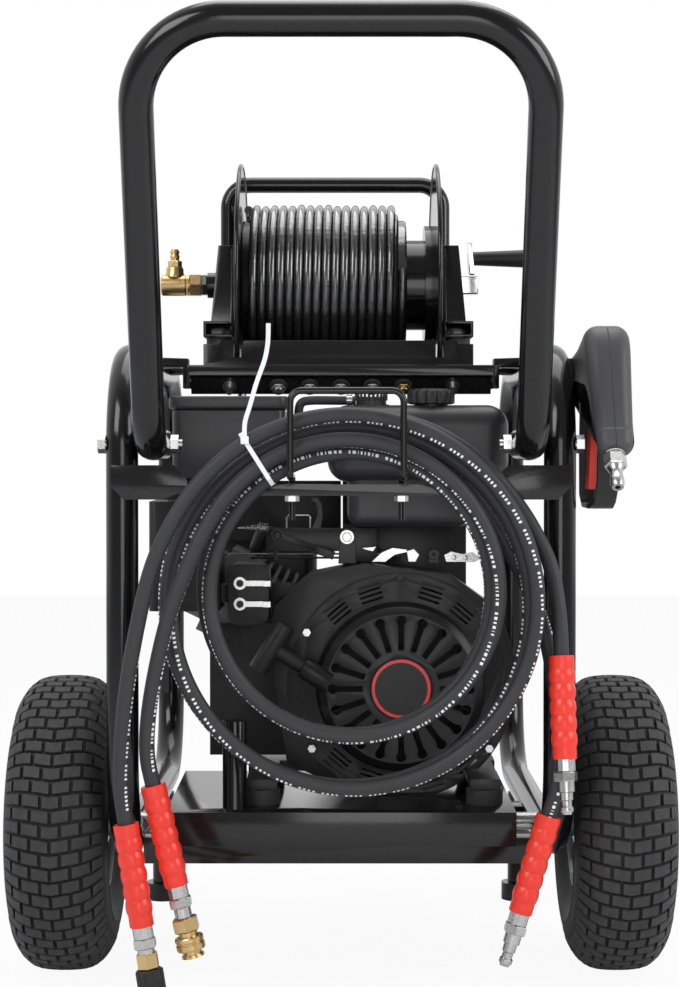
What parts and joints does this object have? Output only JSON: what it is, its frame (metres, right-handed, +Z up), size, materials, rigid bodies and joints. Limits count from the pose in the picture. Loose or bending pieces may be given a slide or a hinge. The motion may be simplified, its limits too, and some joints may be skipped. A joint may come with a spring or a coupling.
{
  "type": "drain jetter",
  "caption": "Engine driven drain jetter on a tube frame cart, with a rear hose reel, spray gun, jet nozzles and two connector hoses hung on a hook.",
  "frame": {"origin": "on the floor, under the middle of the bounding box", "axes": "+X to the right seen from the handle side, +Y away from the handle towards the pump, +Z up"},
  "size_m": [0.75, 0.904, 1.007],
  "materials": {
    "black_paint": "glossy black paint",
    "zinc": "zinc plated steel",
    "black_rubber": "matt tyre rubber",
    "silver_rim": "silver painted rim",
    "cast_alloy": "cast alloy",
    "black_plastic": "satin black plastic",
    "soft_rubber": "matt black rubber",
    "iron": "dark cast iron",
    "engine_black": "satin black paint",
    "brass": "machined brass",
    "chrome": "bright chrome",
    "red_plastic": "red plastic",
    "red_rubber": "red rubber boots",
    "nut_black": "black coupling nut",
    "white_plastic": "white nylon"
  },
  "bodies": {
    "frame": {"left_side_loop": "black_paint", "right_side_loop": "black_paint", "handle_bar": "black_paint", "upper_crossbar": "black_paint", "hose_hook": "black_paint", "base_tray": "black_paint", "front_feet": "black_paint", "axle": "zinc", "crankcase": "engine_black", "cylinder": "cast_alloy", "cylinder_head": "cast_alloy", "spark_plug_cap": "black_plastic", "fan_shroud": "engine_black", "recoil_badge": "black_plastic", "recoil_cover": "engine_black", "fuel_tank": "black_plastic", "vent_hose": "soft_rubber", "air_cleaner": "black_plastic", "air_canister": "black_plastic", "carburettor": "black_plastic", "governor_plate": "engine_black", "muffler": "engine_black", "pump_case": "cast_alloy", "pump_manifold": "brass", "reel_shelf": "black_paint", "rubber_mounts": "soft_rubber", "reel_stands": "black_paint", "reel_guard_bar": "black_paint", "reel_swivel": "brass", "nozzle_panel": "black_paint", "nozzle_grommets": "soft_rubber", "jet_nozzles": "brass", "gun_body": "black_plastic", "gun_inlet": "zinc", "outer_hose_coil": "soft_rubber", "inner_hose_coil": "soft_rubber", "hose_tails": "soft_rubber", "hose_boots": "red_rubber", "hose_fittings": "zinc", "cable_tie": "white_plastic", "zinc_fasteners": "zinc"},
    "left_wheel": {"left_tyre": "black_rubber", "left_rim": "silver_rim"},
    "right_wheel": {"right_tyre": "black_rubber", "right_rim": "silver_rim"},
    "reel": {"reel_drum": "black_paint", "reel_hose": "soft_rubber", "reel_crank": "chrome"},
    "crank_grip": {"crank_grip": "black_plastic"},
    "engine_rotor": {"crankshaft": "zinc", "flywheel": "iron"},
    "starter_grip": {"starter_grip": "black_plastic"},
    "throttle_lever": {"throttle_lever": "black_plastic"},
    "choke_lever": {"choke_lever": "zinc"},
    "fuel_valve_lever": {"fuel_valve_lever": "zinc"},
    "fuel_cap": {"fuel_cap": "black_plastic"},
    "unloader_knob": {"unloader_knob": "black_plastic"},
    "gun_trigger": {"gun_trigger": "red_plastic"},
    "swivel_nut": {"swivel_nut": "nut_black"},
    "coupler_sleeve": {"coupler_sleeve": "brass"}
  },
  "joints": [
    {"name": "left_wheel_spin", "type": "hinge", "parent": "frame", "child": "left_wheel", "pos_m": [-0.307, -0.057, 0.165], "axis": [1, 0, 0], "continuous": true},
    {"name": "right_wheel_spin", "type": "hinge", "parent": "frame", "child": "right_wheel", "pos_m": [0.307, -0.057, 0.165], "axis": [1, 0, 0], "continuous": true},
    {"name": "reel_spin", "type": "hinge", "parent": "frame", "child": "reel", "pos_m": [0, 0.075, 0.779], "axis": [1, 0, 0], "continuous": true},
    {"name": "crank_grip_spin", "type": "hinge", "parent": "reel", "child": "crank_grip", "pos_m": [0.2, 0.12071, 0.81471], "axis": [1, 0, 0], "continuous": true},
    {"name": "engine_spin", "type": "hinge", "parent": "frame", "child": "engine_rotor", "pos_m": [0.066, 0, 0.322], "axis": [0, 1, 0], "continuous": true},
    {"name": "starter_pull", "type": "slide", "parent": "frame", "child": "starter_grip", "axis": [-0.8486, 0, 0.5291], "range_m": [0, 0.03], "stiffness_N_per_m": 120, "springref_m": -0.04},
    {"name": "throttle_turn", "type": "hinge", "parent": "frame", "child": "throttle_lever", "pos_m": [-0.072, -0.0625, 0.488], "axis": [0, 1, 0], "range_deg": [-24, 2]},
    {"name": "choke_turn", "type": "hinge", "parent": "frame", "child": "choke_lever", "pos_m": [-0.112, -0.0945, 0.436], "axis": [0, 1, 0], "range_deg": [-45, 0]},
    {"name": "fuel_valve_turn", "type": "hinge", "parent": "frame", "child": "fuel_valve_lever", "pos_m": [-0.112, -0.0945, 0.413], "axis": [0, 1, 0], "range_deg": [0, 45]},
    {"name": "fuel_cap_turn", "type": "hinge", "parent": "frame", "child": "fuel_cap", "pos_m": [0.101, -0.059, 0.64], "axis": [0, 0, 1], "range_deg": [0, 90]},
    {"name": "unloader_turn", "type": "hinge", "parent": "frame", "child": "unloader_knob", "pos_m": [0.106, 0.3504, 0.43], "axis": [0, 0, 1], "range_deg": [-360, 360]},
    {"name": "trigger_pull", "type": "hinge", "parent": "frame", "child": "gun_trigger", "pos_m": [0.281, -0.16, 0.628], "axis": [1, 0, 0], "range_deg": [-9, 0], "stiffness_Nm_per_rad": 0.8, "springref_deg": 6.88},
    {"name": "swivel_nut_spin", "type": "hinge", "parent": "frame", "child": "swivel_nut", "pos_m": [-0.219, -0.29344, 0.204], "axis": [0.1564, 0, -0.9877], "continuous": true},
    {"name": "coupler_pull", "type": "slide", "parent": "frame", "child": "coupler_sleeve", "axis": [0.2272, 0, -0.9738], "range_m": [-0.004, 0], "stiffness_N_per_m": 1500, "springref_m": 0.003}
  ]
}
